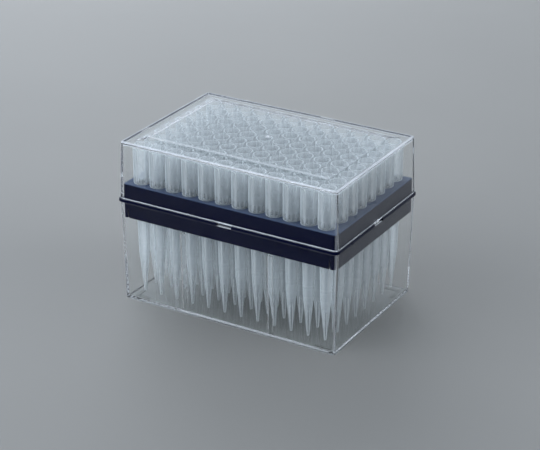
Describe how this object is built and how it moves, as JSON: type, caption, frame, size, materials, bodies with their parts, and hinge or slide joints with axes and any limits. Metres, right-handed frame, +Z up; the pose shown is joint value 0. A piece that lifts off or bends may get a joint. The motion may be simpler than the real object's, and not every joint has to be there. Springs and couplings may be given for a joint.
{
  "type": "box of pipette tips",
  "caption": "Clear rectangular box with a lift-off lid and a dark rack whose deck holds a grid of long translucent tapered pipette tips.",
  "frame": {"origin": "middle of the foot, on the surface the box stands on", "axes": "+Z up, +X along the longer side (the rows of tips), +Y along the shorter side"},
  "size_m": [0.1184, 0.0796, 0.0822],
  "materials": {
    "clear_base": "polished clear polystyrene",
    "clear_lid": "polished clear polystyrene",
    "dark_rack": "satin dark blue moulding",
    "tip_plastic": "natural translucent polypropylene"
  },
  "bodies": {
    "base": {"base": "clear_base"},
    "rack": {"rack": "dark_rack", "tips_column_01": "tip_plastic", "tips_column_02": "tip_plastic", "tips_column_03": "tip_plastic", "tips_column_04": "tip_plastic", "tips_column_05": "tip_plastic", "tips_column_06": "tip_plastic", "tips_column_07": "tip_plastic", "tips_column_08": "tip_plastic", "tips_column_09": "tip_plastic", "tips_column_10": "tip_plastic", "tips_column_11": "tip_plastic", "tips_column_12": "tip_plastic"},
    "lid": {"lid": "clear_lid"}
  },
  "joints": [
    {"name": "rack_lift", "type": "slide", "parent": "base", "child": "rack", "axis": [0, 0, 1], "range_m": [0, 0.055]},
    {"name": "lid_lift", "type": "slide", "parent": "rack", "child": "lid", "axis": [0, 0, 1], "range_m": [0, 0.035]}
  ]
}
